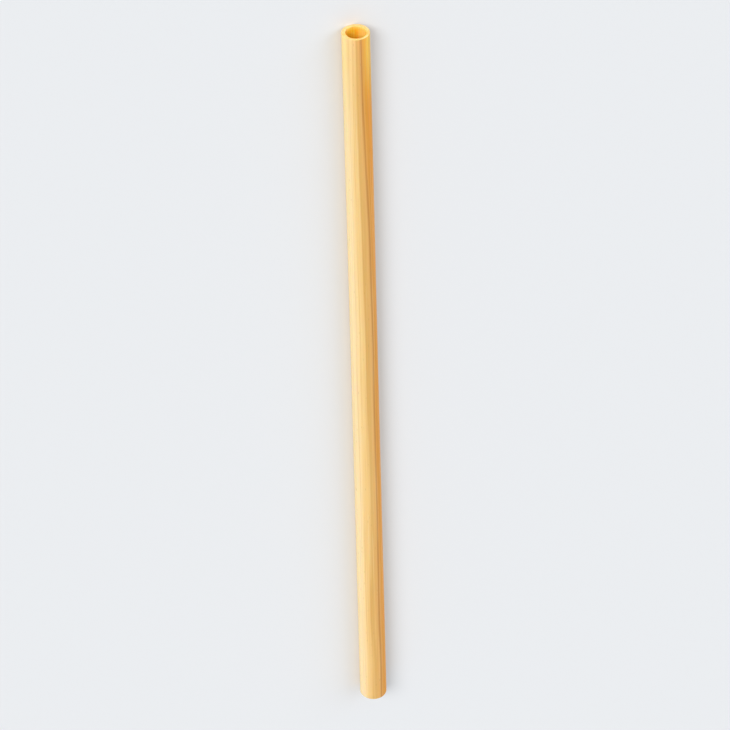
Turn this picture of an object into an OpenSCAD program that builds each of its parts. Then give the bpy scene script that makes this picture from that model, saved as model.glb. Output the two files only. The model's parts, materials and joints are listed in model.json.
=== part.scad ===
// Drinking straw cut from one dried reed stalk: a thin-walled, slightly oval tube with fine
// fibre ribs, a little wider at its foot. It lies along X as it comes to rest, on its one
// flattened side and with its thicker wall down. Its mouth is towards +X, and the origin is on
// the ground, under its middle.

/* [Stalk] */
// Length between the two cut ends
length = 200; // [120:1:260]
// Mean outside diameter at the mouth, over the ribs
mouth_d = 6.0; // [5.6:0.1:8]
// Mean outside diameter at the foot, which grew nearer the root, over the ribs
foot_d = 6.5; // [5.6:0.1:8.5]
// Width of the outline less its height
oval = 0.16; // [0.1:0.02:0.3]
// Height of the outline's three soft corners, in radius
three_sided = 0.02; // [0:0.01:0.05]
// How much slimmer the stalk is at its waist, midway between two knots, in radius
waist = 0.05; // [0:0.01:0.1]
// How far the side that it comes to rest on is flattened
flat_depth = 0.08; // [0:0.01:0.1]
// Spread of that flattened side, in degrees to either hand
flat_spread = 12; // [10:1:20]

/* [Fibre ribs] */
// Ribs around the stalk, in fours
ribs = 52; // [36:4:64]
// Depth of the boldest of the narrow grooves between the ribs
groove_h = 0.04; // [0:0.005:0.05]
// Share of that depth that a faint groove may lack
groove_fade = 0.6; // [0:0.1:0.9]
// Share of a rib's width that a groove may wander sideways
groove_wander = 0.3; // [0:0.05:0.35]
// One growth of the fibres, the same each time
growth_seed = 11; // [1:1:99]

/* [Bore] */
// Diameter of the hollow, which runs straight from end to end
bore_d = 4.4; // [3:0.1:4.6]
// How far the hollow lies above the middle, which leaves the wall thicker underneath
bore_rise = 0.14; // [0:0.02:0.16]

/* [Cut ends] */
// Slant of the mouth's cut, in degrees off square
mouth_slant = 1.5; // [0:0.5:5]
// Slant of the foot's cut, in degrees off square
foot_slant = 1; // [0:0.5:5]
// Width of the worn edge around each end, inside and outside
worn = 0.1; // [0.04:0.02:0.2]

/* [Hidden] */

// Points of the outline on a rib: the first is in the groove beside it, the rest on its back
rib_points = 5;
// Rings of points from the foot to the mouth, without those of the worn edges
rings = 10;
bore_facets = 96;
// The cutting shapes reach past the ends by this much
over = 1;

mouth_r = mouth_d / 2;
foot_r = foot_d / 2;
// A worn edge takes a third of the thinnest wall at most
thinnest = min(mouth_r, foot_r) - oval / 4 - three_sided - waist - groove_h
    - max(bore_rise, flat_depth) - bore_d / 2;
edge = min(worn, thinnest / 3);
// Lean that lays the tapered underside flat on the ground
lean = atan((foot_r - mouth_r) / length);

groove_depths = groove_h * rands(1 - groove_fade, 1, ribs, growth_seed);
groove_places = rands(-groove_wander / 2, groove_wander / 2, ribs, growth_seed + 1);
around = ribs * rib_points;

function in_groove(k) = k % rib_points == 0;

// Angle of point k, counted from +Y
function angle(k) =
    360 / ribs * (k / rib_points + (in_groove(k) ? groove_places[k / rib_points] : 0));

// Radius at point k, a share u of the way from the foot to the mouth
function radius(k, u) =
    foot_r + (mouth_r - foot_r) * u
    + oval / 4 * cos(2 * angle(k))
    - three_sided * sin(3 * angle(k))
    - waist * (1 - cos(360 * u)) / 2
    - flat_depth * exp(-pow((angle(k) - 270) / flat_spread, 2))
    - (in_groove(k) ? groove_depths[k / rib_points] : 0);

// Ring of the surface at u, moved along by shift, leaning with a cut and trimmed all round
function ring(u, shift = 0, slant = 0, trim = 0) =
    [for (k = [0 : around - 1])
        let (r = radius(k, u) - trim, y = r * cos(angle(k)), z = r * sin(angle(k)))
        [length * (u - 0.5) + shift + tan(slant) * y, y, z]];

skin = concat(
    ring(0, 0, foot_slant, edge),
    ring(0, edge, foot_slant),
    [for (i = [1 : rings - 2]) each ring(i / (rings - 1))],
    ring(1, -edge, mouth_slant),
    ring(1, 0, mouth_slant, edge));

// Lowest point of the leaning stalk, which meets the ground
lowest = min([for (p = skin) p.z * cos(lean) - p.x * sin(lean)]);

module stalk() {
    last = len(skin) / around - 1;
    foot_middle = len(skin);
    mouth_middle = foot_middle + 1;
    middles = [[-length / 2, 0, 0], [length / 2, 0, 0]];
    function at(i, k) = i * around + k % around;
    // Each end is a fan of triangles round its middle, which the bore takes out
    foot_end = [for (k = [0 : around - 1]) [foot_middle, at(0, k + 1), at(0, k)]];
    mouth_end = [for (k = [0 : around - 1]) [mouth_middle, at(last, k), at(last, k + 1)]];
    lower_halves = [for (i = [0 : last - 1], k = [0 : around - 1])
        [at(i, k), at(i, k + 1), at(i + 1, k + 1)]];
    upper_halves = [for (i = [0 : last - 1], k = [0 : around - 1])
        [at(i, k), at(i + 1, k + 1), at(i + 1, k)]];
    polyhedron(concat(skin, middles), concat(lower_halves, upper_halves, foot_end, mouth_end));
}

module bore() {
    translate([0, 0, bore_rise])
        rotate([0, 90, 0])
            cylinder(d = bore_d, h = length + 2 * over, center = true, $fn = bore_facets);
}

// Worn inner edge: a cone square to the cut, at the mouth with way = 1 and the foot with -1
module worn_rim(way, slant) {
    translate([way * length / 2, 0, bore_rise])
        rotate([0, way * 90, -slant])
            translate([0, 0, -edge - over])
                cylinder(d1 = bore_d - 2 * over, d2 = bore_d + 2 * (edge + over),
                    h = edge + 2 * over, $fn = bore_facets);
}

module straw() {
    color("#eccb8b")
        translate([0, 0, -lowest])
            rotate([0, lean, 0])
                difference() {
                    stalk();
                    bore();
                    worn_rim(1, mouth_slant);
                    worn_rim(-1, foot_slant);
                }
}

straw();
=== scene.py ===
import json
import math

import bpy
from mathutils import Matrix, Vector, noise
from mathutils.bvhtree import BVHTree


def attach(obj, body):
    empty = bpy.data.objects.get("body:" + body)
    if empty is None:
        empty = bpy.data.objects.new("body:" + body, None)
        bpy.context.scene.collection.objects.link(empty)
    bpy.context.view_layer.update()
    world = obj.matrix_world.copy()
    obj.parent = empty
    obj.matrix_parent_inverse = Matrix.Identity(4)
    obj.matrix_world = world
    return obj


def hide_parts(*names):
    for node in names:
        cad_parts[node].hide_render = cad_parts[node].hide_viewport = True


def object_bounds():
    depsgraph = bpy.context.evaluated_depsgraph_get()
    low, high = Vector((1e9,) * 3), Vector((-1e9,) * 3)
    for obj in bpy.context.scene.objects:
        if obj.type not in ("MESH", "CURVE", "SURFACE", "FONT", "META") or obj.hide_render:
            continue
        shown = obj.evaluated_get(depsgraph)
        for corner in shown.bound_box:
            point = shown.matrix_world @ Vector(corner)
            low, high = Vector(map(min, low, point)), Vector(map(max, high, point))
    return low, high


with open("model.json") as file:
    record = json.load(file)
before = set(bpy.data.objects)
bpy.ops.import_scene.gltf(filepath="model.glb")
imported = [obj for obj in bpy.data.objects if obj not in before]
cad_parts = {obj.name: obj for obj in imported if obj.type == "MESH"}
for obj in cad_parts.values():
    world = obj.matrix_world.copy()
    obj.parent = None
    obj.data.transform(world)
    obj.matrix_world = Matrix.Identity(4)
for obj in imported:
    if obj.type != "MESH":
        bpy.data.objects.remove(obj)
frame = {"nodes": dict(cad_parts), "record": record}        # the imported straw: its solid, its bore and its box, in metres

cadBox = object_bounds()
mm = 0.001


def tone(code):
    # a colour as it is written on a screen, turned into light
    shares = [int(code[i:i + 2], 16) / 255 for i in (1, 3, 5)]
    return [s / 12.92 if s < 0.04 else ((s + 0.055) / 1.055) ** 2.4 for s in shares] + [1.0]


class Wire:
    # one output of a shader node; maths on it adds Math nodes
    def __init__(self, finish, socket):
        self.finish = finish
        self.socket = socket

    def maths(self, operation, first, second):
        return self.finish.node("Math", {"operation": operation}, {0: first, 1: second})

    def __add__(self, other):
        return self.maths("ADD", self, other)

    def __sub__(self, other):
        return self.maths("SUBTRACT", self, other)

    def __rsub__(self, other):
        return self.maths("SUBTRACT", other, self)

    def __mul__(self, other):
        return self.maths("MULTIPLY", self, other)

    def __truediv__(self, other):
        return self.maths("DIVIDE", self, other)

    def __rtruediv__(self, other):
        return self.maths("DIVIDE", other, self)

    def __abs__(self):
        return self.finish.node("Math", {"operation": "ABSOLUTE"}, {0: self})

    __radd__ = __add__
    __rmul__ = __mul__


class Finish:
    # a material, or the world's light, built node by node
    def __init__(self, owner):
        owner.use_nodes = True
        self.owner = owner
        self.tree = owner.node_tree
        self.tree.nodes.clear()

    def node(self, kind, settings, inputs, out=0):
        made = self.tree.nodes.new("ShaderNode" + kind)
        for name, value in settings.items():
            if name == "stops":
                self.setStops(made.color_ramp, value)
            else:
                setattr(made, name, value)
        for name, value in inputs.items():
            if isinstance(value, Wire):
                self.tree.links.new(value.socket, made.inputs[name])
            else:
                made.inputs[name].default_value = value
        return Wire(self, made.outputs[out]) if made.outputs else None

    def setStops(self, ramp, stops):
        while len(ramp.elements) < len(stops):
            ramp.elements.new(1.0)
        for element, (position, colour) in zip(ramp.elements, stops):
            element.position = position
            element.color = colour

    def vector(self, operation, first, second):
        return self.node("VectorMath", {"operation": operation}, {0: first, 1: second})

    def part(self, vector, axis):
        return self.node("SeparateXYZ", {}, {0: vector}, axis)

    def mix(self, share, first, second):
        # a Mix node has its colours at inputs 6 and 7 and at output 2
        return self.node("Mix", {"data_type": "RGBA"}, {0: share, 6: first, 7: second}, 2)

    def window(self, value, low, high):
        # 0 at low, 1 at high and eased between; low may be the larger one
        settings = {"interpolation_type": "SMOOTHSTEP"}
        return self.node("MapRange", settings, {0: value, 1: low, 2: high})

    def span(self, value, start, full, fading, gone):
        # 0 up to start, 1 from full to fading, 0 again from gone on
        return self.window(value, start, full) * self.window(value, gone, fading)

    def noise(self, where, detail):
        return self.node("TexNoise", {}, {"Vector": where, "Scale": 1.0, "Detail": detail})

    def cells(self, where, out):
        return self.node("TexVoronoi", {}, {"Vector": where, "Scale": 1.0}, out)

    def bump(self, strength, depth, height):
        return self.node("Bump", {}, {"Strength": strength, "Distance": depth, "Height": height})


bore = next(m for m in frame["record"]["mounts"] if m["name"] == "bore")
boreAt = Vector(bore["pos_m"])
boreRadius = bore["dims"]["r_mm"] * mm
along = Vector(bore["axis"]).normalized()      # from the foot to the mouth
across = (Vector((0, 1, 0)) - along * along.y).normalized()
above = along.cross(across)


def spoke(angle):
    # the direction away from the bore's axis, at an angle from +Y over the top
    return across * math.cos(angle) + above * math.sin(angle)


# The shape, which is finer than the solid's
straw = {
    "columns": 416,             # around, eight to a fibre rib
    "skinRings": 84,
    "liningRings": 44,
    "ringEase": 0.09,           # how much closer together the rings stand towards the ends
    "edgeSteps": 4,             # across each worn edge
    "wallSteps": 10,            # across the cut wall
    "wornOutside": 0.06 * mm,
    "wornInside": 0.09 * mm,
    "solidEdge": 0.35 * mm,     # the solid's own worn edges lie within this of its cuts
    # relief that is drawn out along the stalk: width, length, seed
    "fibres": (0.22 * mm, 24 * mm, 1),
    "hollows": (1.6 * mm, 14 * mm, 2),
    "wrinkles": (0.45 * mm, 9 * mm, 3),
    "fineWrinkles": (0.2 * mm, 4 * mm, 4),
    "tears": (0.35 * mm, 1000 * mm, 5),
    "fibreDepth": 0.012 * mm,
    "hollowDepth": 0.020 * mm,
    "liningDepth": 0.030 * mm,
    "fineShare": 0.4,           # of the lining's relief
    "lipDepth": 0.060 * mm,     # how far the lining is torn back at the cut
    "lipReach": 0.5 * mm,       # how soon that ends down the hollow
    # rows of fibre bundles in the cut wall: place from the skin (0) to the lining (1), count, size
    "bundleRows": [(0.14, 104, 0.10 * mm), (0.38, 52, 0.19 * mm), (0.70, 34, 0.24 * mm)],
    "bundleFalloff": 3.2,       # a higher one makes each bundle narrower
    "rowStagger": 0.37,         # how far each row is turned on from the last, in bundles
    "bundleSway": 0.22,         # how far a bundle strays round the wall, in bundles
    "bundleDrift": 0.1,         # share of that by which it strays across the wall too
    "bundleDepth": 0.018 * mm,  # how far the soft wall sinks between its fibre bundles
    "scratchDepth": 0.006 * mm,
    "scratchScale": 9000,       # to the metre
    "wallFade": 6,              # the wall's relief fades out over one part in this many, at each edge
}
reach = 10 * mm            # farther out than any skin
beyond = 150 * mm          # farther along than either end
midWall = 2.7 * mm         # from the bore's axis to about the middle of the wall
bundleRadius = 2.6 * mm    # where the bundles' places round the wall are measured
reliefRadius = 3 * mm      # where the widths of the skin's relief are measured

print("straw: reading the packed solid")
solid = BVHTree.FromObject(frame["nodes"]["straw"], bpy.context.evaluated_depsgraph_get())


def cutPlane(way):
    # a point on the cut at the mouth (way 1) or the foot (way -1), and the cut's direction
    start = boreAt + along * way * beyond + spoke(0) * midWall
    point, normal, _, _ = solid.ray_cast(start, -along * way)
    return point, normal


def placeOnCut(plane, angle, radius):
    # how far along the bore's axis the cut lies, at this angle and radius
    point, normal = plane
    return (point - boreAt - spoke(angle) * radius).dot(normal) / along.dot(normal)


def skinRadius(angle, place):
    # the solid's skin, measured from the bore's axis
    outward = spoke(angle)
    point = solid.ray_cast(boreAt + along * place + outward * reach, -outward)[0]
    return (point - boreAt).dot(outward)


mouthCut = cutPlane(1)
footCut = cutPlane(-1)
angles = [math.tau * i / straw["columns"] for i in range(straw["columns"])]


def raised(value):
    # from -1 to 1 becomes from 0 to 1
    return 0.5 + 0.5 * value


def roundNoise(angle, place, relief, radius):
    # noise that is drawn out along the stalk, from -1 to 1; the seed gives it a region of its own
    width, run, seed = relief
    scale = radius / width
    return noise.noise(Vector((
        place / run + seed * 7.3,
        math.cos(angle) * scale + seed * 3.1,
        math.sin(angle) * scale - seed,
    )))


def skinRelief(angle, place):
    # always inwards, so that the skin stays within the solid
    fibres = roundNoise(angle, place, straw["fibres"], reliefRadius)
    hollows = roundNoise(angle, place, straw["hollows"], reliefRadius)
    return -straw["fibreDepth"] * raised(fibres) - straw["hollowDepth"] * max(0.0, hollows) ** 2


def liningRelief(angle, place, fromCut):
    wrinkles = roundNoise(angle, place, straw["wrinkles"], boreRadius)
    fine = roundNoise(angle, place, straw["fineWrinkles"], boreRadius)
    lip = math.exp(-fromCut / straw["lipReach"]) * straw["lipDepth"]
    torn = raised(roundNoise(angle, 0.0, straw["tears"], boreRadius))
    fineShare = straw["fineShare"]
    return straw["liningDepth"] * ((1 - fineShare) * wrinkles + fineShare * fine) + lip * torn


def bundleAt(angle, share, wall):
    # 1 in the middle of a fibre bundle, 0 in the soft wall between; each bundle strays its own way
    best = 0.0
    for row, (depth, count, size) in enumerate(straw["bundleRows"]):
        turn = angle * count / math.tau + straw["rowStagger"] * row
        sway = straw["bundleSway"] * noise.noise(Vector((round(turn) * 1.7, row * 9.1, 0.3)))
        aside = (turn - round(turn) - sway) * math.tau * bundleRadius / count
        outward = (share - depth - straw["bundleDrift"] * sway) * wall
        falloff = size * size / straw["bundleFalloff"]
        best = max(best, 1.0 - (aside * aside + outward * outward) / falloff)
    return best


def wallRelief(angle, radius, share, wall):
    # always inwards, as the skin's is; the shift gives the scratches a region of their own
    shift = Vector((5, 1, 2))
    scratches = noise.noise(spoke(angle) * radius * straw["scratchScale"] + shift)
    sunk = straw["bundleDepth"] * (bundleAt(angle, share, wall) ** 0.5 - 1.0)
    return sunk - straw["scratchDepth"] * raised(scratches)


def easedShares(count):
    # from 0 to 1, closer together towards both
    for i in range(count):
        share = i / (count - 1)
        yield share - straw["ringEase"] * math.sin(math.tau * share)


def straightenFacets(radii):
    # the solid's flat facets blend into round ribs
    count = len(radii)
    return [(radii[i - 1] + 2 * radii[i] + radii[(i + 1) % count]) / 4 for i in range(count)]


def placeAlong(angle, share, inset):
    # a share of the way from the foot to the mouth, with both ends following the slanted cuts
    first = placeOnCut(footCut, angle, midWall) + inset
    last = placeOnCut(mouthCut, angle, midWall) - inset
    return first + (last - first) * share


# A ring is a list of (angle, place along, radius); each comes with the finish from it to the next
onSkin, onCut, onLining = range(3)


def skinRings():
    low = placeOnCut(footCut, 0, midWall)
    high = placeOnCut(mouthCut, 0, midWall)
    for share in easedShares(straw["skinRings"]):
        level = low + (high - low) * share
        measured = min(max(level, low + straw["solidEdge"]), high - straw["solidEdge"])
        radii = straightenFacets([skinRadius(angle, measured) for angle in angles])
        ring = []
        for angle, radius in zip(angles, radii):
            place = placeAlong(angle, share, straw["wornOutside"])
            ring.append((angle, place, radius + skinRelief(angle, place)))
        yield ring, onSkin


def cutRings(plane, way, skinEnd):
    # from the skin's ring at that end over the cut wall to the lining
    steps, wallSteps, wallFade = straw["edgeSteps"], straw["wallSteps"], straw["wallFade"]
    outside, inside = straw["wornOutside"], straw["wornInside"]
    for step in range(1, steps + 1):
        bend = math.pi / 2 * step / steps
        back = outside * (1 - math.sin(bend))
        drop = outside * (1 - math.cos(bend))
        ring = []
        for angle, _, skin in skinEnd:
            radius = skin - drop
            ring.append((angle, placeOnCut(plane, angle, radius) - way * back, radius))
        yield ring, onSkin if step < steps / 2 else onCut
    for step in range(1, wallSteps):
        share = step / wallSteps
        fade = min(1.0, wallFade * share, wallFade * (1 - share))
        ring = []
        for angle, _, skin in skinEnd:
            wall = skin - outside - (boreRadius + inside)
            radius = skin - outside - wall * share
            relief = wallRelief(angle, radius, share, wall) * fade
            ring.append((angle, placeOnCut(plane, angle, radius) + way * relief, radius))
        yield ring, onCut
    for step in range(steps):
        bend = math.pi / 2 * step / steps
        back = inside * (1 - math.cos(bend))
        drop = inside * (1 - math.sin(bend))
        ring = []
        for angle in angles:
            radius = boreRadius + drop + liningRelief(angle, 0.0, back) * math.sin(bend)
            ring.append((angle, placeOnCut(plane, angle, radius) - way * back, radius))
        yield ring, onCut if step < steps / 2 else onLining


def liningRings():
    # from the mouth back to the foot
    for share in easedShares(straw["liningRings"]):
        ring = []
        for angle in angles:
            place = placeAlong(angle, 1 - share, straw["wornInside"])
            fromMouth = placeOnCut(mouthCut, angle, boreRadius) - place
            fromFoot = place - placeOnCut(footCut, angle, boreRadius)
            relief = liningRelief(angle, place, min(fromMouth, fromFoot))
            ring.append((angle, place, boreRadius + relief))
        yield ring, onLining


def meshOfRings(name, rings):
    # each ring is joined to the next, and the last to the first
    columns = len(angles)
    verts = [boreAt + along * p + spoke(a) * r for ring, _ in rings for a, p, r in ring]
    faces = []
    slots = []
    for i, (_, finish) in enumerate(rings):
        here, there = i * columns, (i + 1) % len(rings) * columns
        for k in range(columns):
            beside = (k + 1) % columns
            faces.append((here + k, here + beside, there + beside, there + k))
            slots.append(finish)
    mesh = bpy.data.meshes.new(name)
    mesh.from_pydata(verts, [], faces)
    mesh.polygons.foreach_set("material_index", slots)
    mesh.polygons.foreach_set("use_smooth", [True] * len(faces))
    mesh.update()
    mesh.validate()
    print("straw:", len(verts), "points,", len(faces), "faces")
    return mesh


def makeStraw():
    print("straw: skin")
    skin = list(skinRings())
    print("straw: mouth")
    mouth = list(cutRings(mouthCut, 1, skin[-1][0]))
    print("straw: lining")
    lining = list(liningRings())
    print("straw: foot")
    foot = list(cutRings(footCut, -1, skin[0][0]))
    foot.reverse()          # it is met from the lining outwards
    mesh = meshOfRings("reed_straw", skin + mouth + lining + foot)
    made = bpy.data.objects.new("reed_straw", mesh)
    bpy.context.scene.collection.objects.link(made)
    return made


# Finishes
reed = {
    # colour round the stalk, partly painted light: paler on the side the key lamp lights, golden
    # orange on the side away from it as painted warm reflected light, with the straw's own tan band
    # between; angle from +Y over the top in degrees, colour
    "round": [
        (-70, tone("#f3cd85")),
        (2, tone("#fcdb97")),       # the lit side, painted paler
        (40, tone("#f3cd8d")),
        (57, tone("#ecc27d")),
        (61, tone("#d9ab61")),      # the tan band
        (73, tone("#e2b066")),
        (80, tone("#c4873f")),      # its dark edge
        (84, tone("#c98d42")),
        (88, tone("#e2a553")),
        (95, tone("#db9733")),      # the side away from the key lamp: golden straw, deepened to orange as painted warm reflected light
        (118, tone("#f19d28")),
        (142, tone("#ee9f30")),
        (195, tone("#f0bd6a")),
        (289, tone("#f3cd85")),
    ],
    "tan": tone("#c98f4a"),
    "olive": tone("#b9975a"),
    "pale": tone("#fdeab8"),
    "paintedLitCream": tone("#f8deb9"),      # painted light: the lit side paler, away from the mouth
    "paintedMouthLight": tone("#ffc952"),       # painted light: the side away from the key lamp, lighter gold next to the mouth
    "fleck": tone("#8d6530"),
    "cut": tone("#ffca74"),
    "cutPale": tone("#ffde9a"),
    "cutBundle": tone("#e9b25c"),
    # the lining's own deep yellow, made brighter and more orange as painted light for the glow inside
    # the hollow
    "lining": tone("#ffb20a"),
    "liningPale": tone("#ffcc48"),
    # painted light on the side of the hollow where the key lamp's light falls
    "liningLight": tone("#ffd87e"),
    "radius": 3.1 * mm,            # of the skin, where the widths below are measured
    # streaks of noise along the stalk: width, length, detail, shift
    "broad": (1.7 * mm, 160 * mm, 1.0, 2.0),
    "medium": (0.55 * mm, 70 * mm, 2.0, 5.0),
    "fine": (0.2 * mm, 34 * mm, 2.0, 9.0),
    "hair": (0.08 * mm, 11 * mm, 1.0, 13.0),
    "cutPatches": (2.2 * mm, 9 * mm, 1.0, 4.0),
    "wrinkles": (0.4 * mm, 14 * mm, 3.0, 3.0),
    "fineWrinkles": (0.12 * mm, 5 * mm, 2.0, 6.0),
    "cutGrain": (4200, 3.0),       # to the metre, and its detail
    "cutCells": 4300,              # to the metre
    # tints over the base colour: what each goes by, where it starts, where it is full, share, colour
    "skinTints": [
        ("broad", 0.5, 0.8, 0.15, "tan"),
        ("medium", 0.52, 0.74, 0.16, "tan"),
        ("fine", 0.54, 0.74, 0.18, "olive"),
        ("fine", 0.46, 0.28, 0.25, "pale"),
        ("hair", 0.62, 0.8, 0.15, "tan"),
    ],
    "cutTints": [
        ("patches", 0.38, 0.62, 1.0, "cutPale"),
        ("cells", 0.42, 0.15, 0.6, "cutBundle"),
        ("fromAxis", boreRadius + 0.28 * mm, boreRadius, 0.45, "liningPale"),
    ],
    "liningTints": [
        ("wrinkles", 0.3, 0.7, 1.0, "liningPale"),
        ("fineWrinkles", 0.6, 0.8, 0.3, "tan"),
        # painted light in the hollow: the +Y side, in shade, turns paler, and the −Y side, where the
        # key lamp's light falls, paler still
        ("side", -0.1, 0.6, 0.6, "liningPale"),
        ("side", -0.3, -1.0, 0.6, "liningLight"),
        ("fromMiddle", 99 * mm, 100 * mm, 0.35, "cutPale"),
    ],
    # where the painted light next to the mouth lies: along the stalk, and in degrees where that
    # starts, is full, fades, is gone
    "paintedMouthLightAlong": (80 * mm, 98 * mm),
    "paintedMouthLightRound": (84, 120, 150, 190),
    # where the lit side is painted paler, and how much
    "paintedLitCreamAlong": (98 * mm, 74 * mm),
    "paintedLitCreamRound": (44, 24),
    "paintedLitCreamShare": 0.4,
    # bold streaks along the stalk: angle from +Y at the mouth in degrees, width, strength
    "boldStreaks": [
        (28, 0.16 * mm, 0.2),
        (44, 0.14 * mm, 0.35),
        (109, 0.16 * mm, 0.4),
        (131, 0.22 * mm, 0.5),
        (150, 0.5 * mm, 0.4),
        (190, 0.3 * mm, 0.5),
        (232, 0.6 * mm, 0.6),
        (285, 0.35 * mm, 0.5),
        (322, 0.2 * mm, 0.4),
    ],
    "boldEdge": (1.7, 0.4),        # where one starts and is full, in halves of its width
    "boldWear": (0.25, 0.65),      # noise at which one starts and is full
    "boldRun": 38 * mm,            # length over which one comes and goes
    "sway": 14,                    # degrees that the colours stray round the stalk,
    "swayRun": 46 * mm,            # over this length of it
    "swayShift": 3.0,
    "ragged": 9,                   # degrees that the medium streaks shift them by
    # degrees that the dark side drifts round below the mouth, and where, as for the painted light next
    # to the mouth
    "drift": 22,
    "driftAlong": (104 * mm, 40 * mm),
    "driftRound": (46, 98, 124, 178),
    "fleckSize": (0.16 * mm, 1.3 * mm),     # of the pattern's cells, round the stalk and along it
    "fleckShift": (0.0, 4.0, 4.0),
    "fleckEdge": (0.42, 0.18),     # from a cell's middle, where its fleck starts and is full
    "fleckChosen": (0.972, 0.978),     # a cell has one where its random value is above these
    "fleckStrength": 0.35,
    # bump: strength, depth
    "skinBump": (0.7, 0.03 * mm),
    "cutBump": (0.5, 0.02 * mm),
    "liningBump": (0.5, 0.03 * mm),
    # what each noise adds to the height or the roughness
    "skinHeight": [("medium", 0.3), ("fine", 0.5), ("hair", 0.2)],
    "liningHeight": [("wrinkles", 1.0), ("fineWrinkles", 0.4)],
    "skinRoughness": 0.40,
    "skinRoughened": [("fine", 0.16), ("hair", 0.06)],
    "cutRoughness": 0.62,
    "cutRoughened": [("grain", 0.2)],
    "liningRoughness": 0.55,
    "liningRoughened": [("fineWrinkles", 0.2)],
    "coat": 0.08,
    "coatWorn": (0.7, 0.3),        # noise at which the coat starts and is full
    "coatRoughness": 0.32,
    "gloss": 0.27,
    # how much light enters the wall, and how deep
    "skinScatter": (0.35, 1.6 * mm),
    "cutScatter": (0.25, 0.8 * mm),
    "liningScatter": (0.85, 1.1 * mm),
    "scatterColours": (1.0, 0.55, 0.18),
}


class ReedFinish(Finish):
    # a finish that knows where on the stalk each point lies
    def __init__(self, name):
        super().__init__(bpy.data.materials.new(name))
        self.fromBore = self.vector("SUBTRACT", self.node("TexCoord", {}, {}, "Object"), tuple(boreAt))
        self.lengthwise = self.part(self.fromBore, "X")
        self.aside = self.vector("MULTIPLY", self.fromBore, (0, 1, 1))
        self.direction = self.node("VectorMath", {"operation": "NORMALIZE"}, {0: self.aside})

    def drawnOut(self, width, run, shift):
        # where a point lies in a pattern of this width round the stalk and this length along it
        scale = reed["radius"] / width
        scaled = self.vector("MULTIPLY", self.direction, (0, scale, scale))
        inputs = {0: self.lengthwise / run + shift[0], 1: shift[1], 2: shift[2]}
        return self.vector("ADD", scaled, self.node("CombineXYZ", {}, inputs))

    def streaks(self, name):
        width, run, detail, shift = reed[name]
        return self.noise(self.drawnOut(width, run, (shift, shift, -shift)), detail)

    def waver(self, run, shift):
        # noise that changes along the stalk only
        inputs = {"W": self.lengthwise / run + shift, "Scale": 1.0, "Detail": 1.0}
        return self.node("TexNoise", {"noise_dimensions": "1D"}, inputs)

    def tinted(self, colour, tints, values):
        for name, start, full, share, tint in tints:
            colour = self.mix(self.window(values[name], start, full) * share, colour, reed[tint])
        return colour

    def close(self, colour, roughness, coat, bump, scatter):
        inputs = {
            "Base Color": colour,
            "Roughness": roughness,
            "Coat Weight": coat,
            "Coat Roughness": reed["coatRoughness"],
            "Subsurface Weight": scatter[0],
            "Subsurface Radius": reed["scatterColours"],
            "Subsurface Scale": scatter[1],
            "Specular IOR Level": reed["gloss"],
            "Normal": bump,
        }
        surface = self.node("BsdfPrincipled", {}, inputs)
        self.node("OutputMaterial", {}, {"Surface": surface})
        return self.owner


def addedUp(values, shares, base=0.0):
    return sum((values[name] * share for name, share in shares), base)


def rampPlace(angle):
    # where an angle in degrees stands on the ramp, which goes once round from its first colour
    return (angle - reed["round"][0][0]) / 360


def turnPlace(skin, ragged):
    # the same for each point of the skin, straying with its fibres
    z, y = (skin.part(skin.direction, axis) for axis in "ZY")
    angle = skin.node("Math", {"operation": "ARCTAN2"}, {0: z, 1: y}) * (180 / math.pi)
    darkSide = skin.span(angle, *reed["driftRound"])
    sway = (skin.waver(reed["swayRun"], reed["swayShift"]) - 0.5) * reed["sway"]
    drift = sway - skin.window(skin.lengthwise, *reed["driftAlong"]) * darkSide * reed["drift"]
    place = rampPlace(angle + drift + (ragged - 0.5) * reed["ragged"])
    # two whole turns are added, as the fraction is wanted of a number above 0
    return skin.node("Math", {"operation": "FRACT"}, {0: place + 2.0})


def boldStreak(skin, colour, turn, angle, width, strength):
    # a streak along the stalk whose strength comes and goes
    off = abs(turn - rampPlace(angle)) * 360
    half = math.degrees(width / 2 / reed["radius"])
    inside = skin.window(off, *(half * edge for edge in reed["boldEdge"]))
    worn = skin.window(skin.waver(reed["boldRun"], angle), *reed["boldWear"])
    return skin.mix(inside * worn * strength, colour, reed["tan"])


def flecks(skin, colour):
    # short brown flecks, thin and sparse: a few of the pattern's cells have one
    where = skin.drawnOut(*reed["fleckSize"], reed["fleckShift"])
    inside = skin.window(skin.cells(where, "Distance"), *reed["fleckEdge"])
    pick = skin.node("SeparateColor", {}, {0: skin.cells(where, "Color")}, "Red")
    chosen = skin.window(pick, *reed["fleckChosen"])
    return skin.mix(inside * chosen * reed["fleckStrength"], colour, reed["fleck"])


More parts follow.
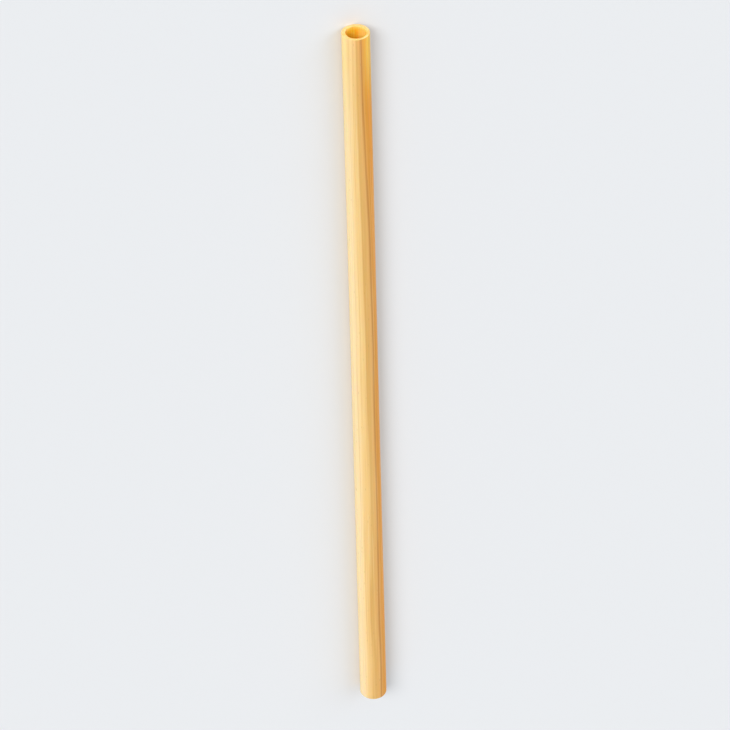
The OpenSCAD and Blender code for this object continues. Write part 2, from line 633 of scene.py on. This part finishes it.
def skinFinish():
    skin = ReedFinish("reed_skin")
    values = {name: skin.streaks(name) for name in ("broad", "medium", "fine", "hair")}
    turn = turnPlace(skin, values["medium"])
    stops = [(rampPlace(angle), colour) for angle, colour in reed["round"]]
    # painted light round the stalk: paler where the key lamp shines, golden orange away from it
    colour = skin.node("ValToRGB", {"stops": stops}, {0: turn})
    # painted light: next to the mouth, the side away from the key lamp turns lighter gold
    mouthLightSide = skin.span(turn, *(rampPlace(angle) for angle in reed["paintedMouthLightRound"]))
    mouthLightShare = skin.window(skin.lengthwise, *reed["paintedMouthLightAlong"]) * mouthLightSide
    colour = skin.mix(mouthLightShare, colour, reed["paintedMouthLight"])
    # painted light: the side the key lamp lights turns paler cream away from the mouth
    litSide = skin.window(turn, *(rampPlace(angle) for angle in reed["paintedLitCreamRound"]))
    litCreamShare = skin.window(skin.lengthwise, *reed["paintedLitCreamAlong"]) * litSide
    colour = skin.mix(litCreamShare * reed["paintedLitCreamShare"], colour, reed["paintedLitCream"])
    colour = skin.tinted(colour, reed["skinTints"], values)
    for angle, width, strength in reed["boldStreaks"]:
        colour = boldStreak(skin, colour, turn, angle, width, strength)
    colour = flecks(skin, colour)
    bump = skin.bump(*reed["skinBump"], addedUp(values, reed["skinHeight"]))
    roughness = addedUp(values, reed["skinRoughened"], reed["skinRoughness"])
    coat = skin.window(values["medium"], *reed["coatWorn"]) * reed["coat"]
    return skin.close(colour, roughness, coat, bump, reed["skinScatter"])


def cutFinish():
    cut = ReedFinish("reed_cut")
    scale, detail = reed["cutGrain"]
    grain = cut.noise(cut.vector("MULTIPLY", cut.fromBore, (scale,) * 3), detail)
    values = {
        "grain": grain,
        "patches": grain * 0.5 + cut.streaks("cutPatches") * 0.5,
        "cells": cut.cells(cut.vector("MULTIPLY", cut.aside, (reed["cutCells"],) * 3), "Distance"),
        "fromAxis": cut.node("VectorMath", {"operation": "LENGTH"}, {0: cut.aside}, "Value"),
    }
    colour = cut.tinted(reed["cut"], reed["cutTints"], values)
    roughness = addedUp(values, reed["cutRoughened"], reed["cutRoughness"])
    return cut.close(colour, roughness, 0.0, cut.bump(*reed["cutBump"], grain), reed["cutScatter"])


def liningFinish():
    lining = ReedFinish("reed_lining")
    values = {name: lining.streaks(name) for name in ("wrinkles", "fineWrinkles")}
    values["side"] = lining.part(lining.direction, "Y")
    values["fromMiddle"] = abs(lining.lengthwise)
    colour = lining.tinted(reed["lining"], reed["liningTints"], values)
    bump = lining.bump(*reed["liningBump"], addedUp(values, reed["liningHeight"]))
    roughness = addedUp(values, reed["liningRoughened"], reed["liningRoughness"])
    return lining.close(colour, roughness, 0.0, bump, reed["liningScatter"])


piece = makeStraw()
print("finishes")
# in the order of onSkin, onCut and onLining
for material in (skinFinish(), cutFinish(), liningFinish()):
    piece.data.materials.append(material)
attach(piece, "root")
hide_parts("straw")

# Camera: looks down on the lying straw as the photograph's camera looks at a standing one
print("camera")
view = {
    "tilt": 35.6,           # degrees of the ray to the mouth, off the plane square to the stalk
    "distance": 0.70,       # from the mouth
    "aim": 41.3,            # degrees of the middle ray, in the same sense
    "field": 12.5,          # degrees across the picture
    "roll": 1.5,            # degrees that the stalk leans in the picture
    "aside": 26.0,          # degrees that the camera stands round the stalk, towards +Y
    "nearest": 0.01,
    "farthest": 10,
}


def makeCamera():
    mouth = Vector((cadBox[1].x, 0, cadBox[1].z / 2))
    tilt, aim, roll, aside = (math.radians(view[name]) for name in ("tilt", "aim", "roll", "aside"))
    swing = Matrix.Rotation(-aside, 3, "X")
    back = swing @ Vector((math.sin(aim), 0, math.cos(aim)))
    up = swing @ Vector((math.cos(aim), 0, -math.sin(aim)))
    lean = Matrix.Rotation(-roll, 3, back)
    axes = Matrix((lean @ up.cross(back), lean @ up, back)).transposed().to_4x4()
    stand = mouth + swing @ Vector((math.sin(tilt), 0, math.cos(tilt))) * view["distance"]
    data = bpy.data.cameras.new("camera")
    data.angle = math.radians(view["field"])
    data.clip_start = view["nearest"]
    data.clip_end = view["farthest"]
    camera = bpy.data.objects.new("camera", data)
    camera.matrix_world = Matrix.Translation(stand) @ axes
    bpy.context.scene.collection.objects.link(camera)
    bpy.context.scene.camera = camera


makeCamera()

# Floor and light
print("floor and light")
room = {
    "floorSize": 6.0,
    "floorColour": tone("#e6e8ea"),
    "floorRoughness": 0.9,
    "floorGloss": 0.2,
    "backdrop": tone("#e9ebed"),       # seen past the floor's edge, so it is like the lit floor
    "worldColour": tone("#f8f9fb"),
    "worldStrength": 0.6,
    "lamps": [
        # name, where it shines from, degrees across, strength
        ("key", (0.525, 0.52, 0.50), 25, 2.0),
        ("fill", (0.375, -0.80, 0.70), 52, 0.65),
    ],
}


def makeFloor():
    half = room["floorSize"] / 2
    mesh = bpy.data.meshes.new("floor")
    corners = [(-half, -half, 0), (half, -half, 0), (half, half, 0), (-half, half, 0)]
    mesh.from_pydata(corners, [], [(0, 1, 2, 3)])
    floor = bpy.data.objects.new("floor", mesh)
    bpy.context.scene.collection.objects.link(floor)
    paper = Finish(bpy.data.materials.new("floor_paper"))
    inputs = {
        "Base Color": room["floorColour"],
        "Roughness": room["floorRoughness"],
        "Specular IOR Level": room["floorGloss"],
    }
    paper.node("OutputMaterial", {}, {"Surface": paper.node("BsdfPrincipled", {}, inputs)})
    mesh.materials.append(paper.owner)


def makeLamps():
    for name, source, spread, strength in room["lamps"]:
        data = bpy.data.lights.new(name, "SUN")
        data.angle = math.radians(spread)
        data.energy = strength
        lamp = bpy.data.objects.new(name, data)
        lamp.rotation_mode = "QUATERNION"
        lamp.rotation_quaternion = Vector(source).to_track_quat("Z", "Y")
        bpy.context.scene.collection.objects.link(lamp)


def makeWorld():
    # the light falls on everything; the camera, reflections and clear things see the backdrop
    world = Finish(bpy.data.worlds.new("studio"))
    inputs = {"Color": room["worldColour"], "Strength": room["worldStrength"]}
    light = world.node("Background", {}, inputs)
    backdrop = world.node("Background", {}, {"Color": room["backdrop"]})
    camera = world.node("LightPath", {}, {}, "Is Camera Ray")
    glossy = world.node("LightPath", {}, {}, "Is Glossy Ray")
    through = world.node("LightPath", {}, {}, "Is Transmission Ray")
    settings = {"operation": "ADD", "use_clamp": True}
    seen = world.node("Math", settings, {0: camera + glossy, 1: through})
    surface = world.node("MixShader", {}, {0: seen, 1: light, 2: backdrop})
    world.node("OutputWorld", {}, {"Surface": surface})
    bpy.context.scene.world = world.owner


makeFloor()
makeLamps()
makeWorld()
bpy.context.scene.view_settings.view_transform = "Standard"
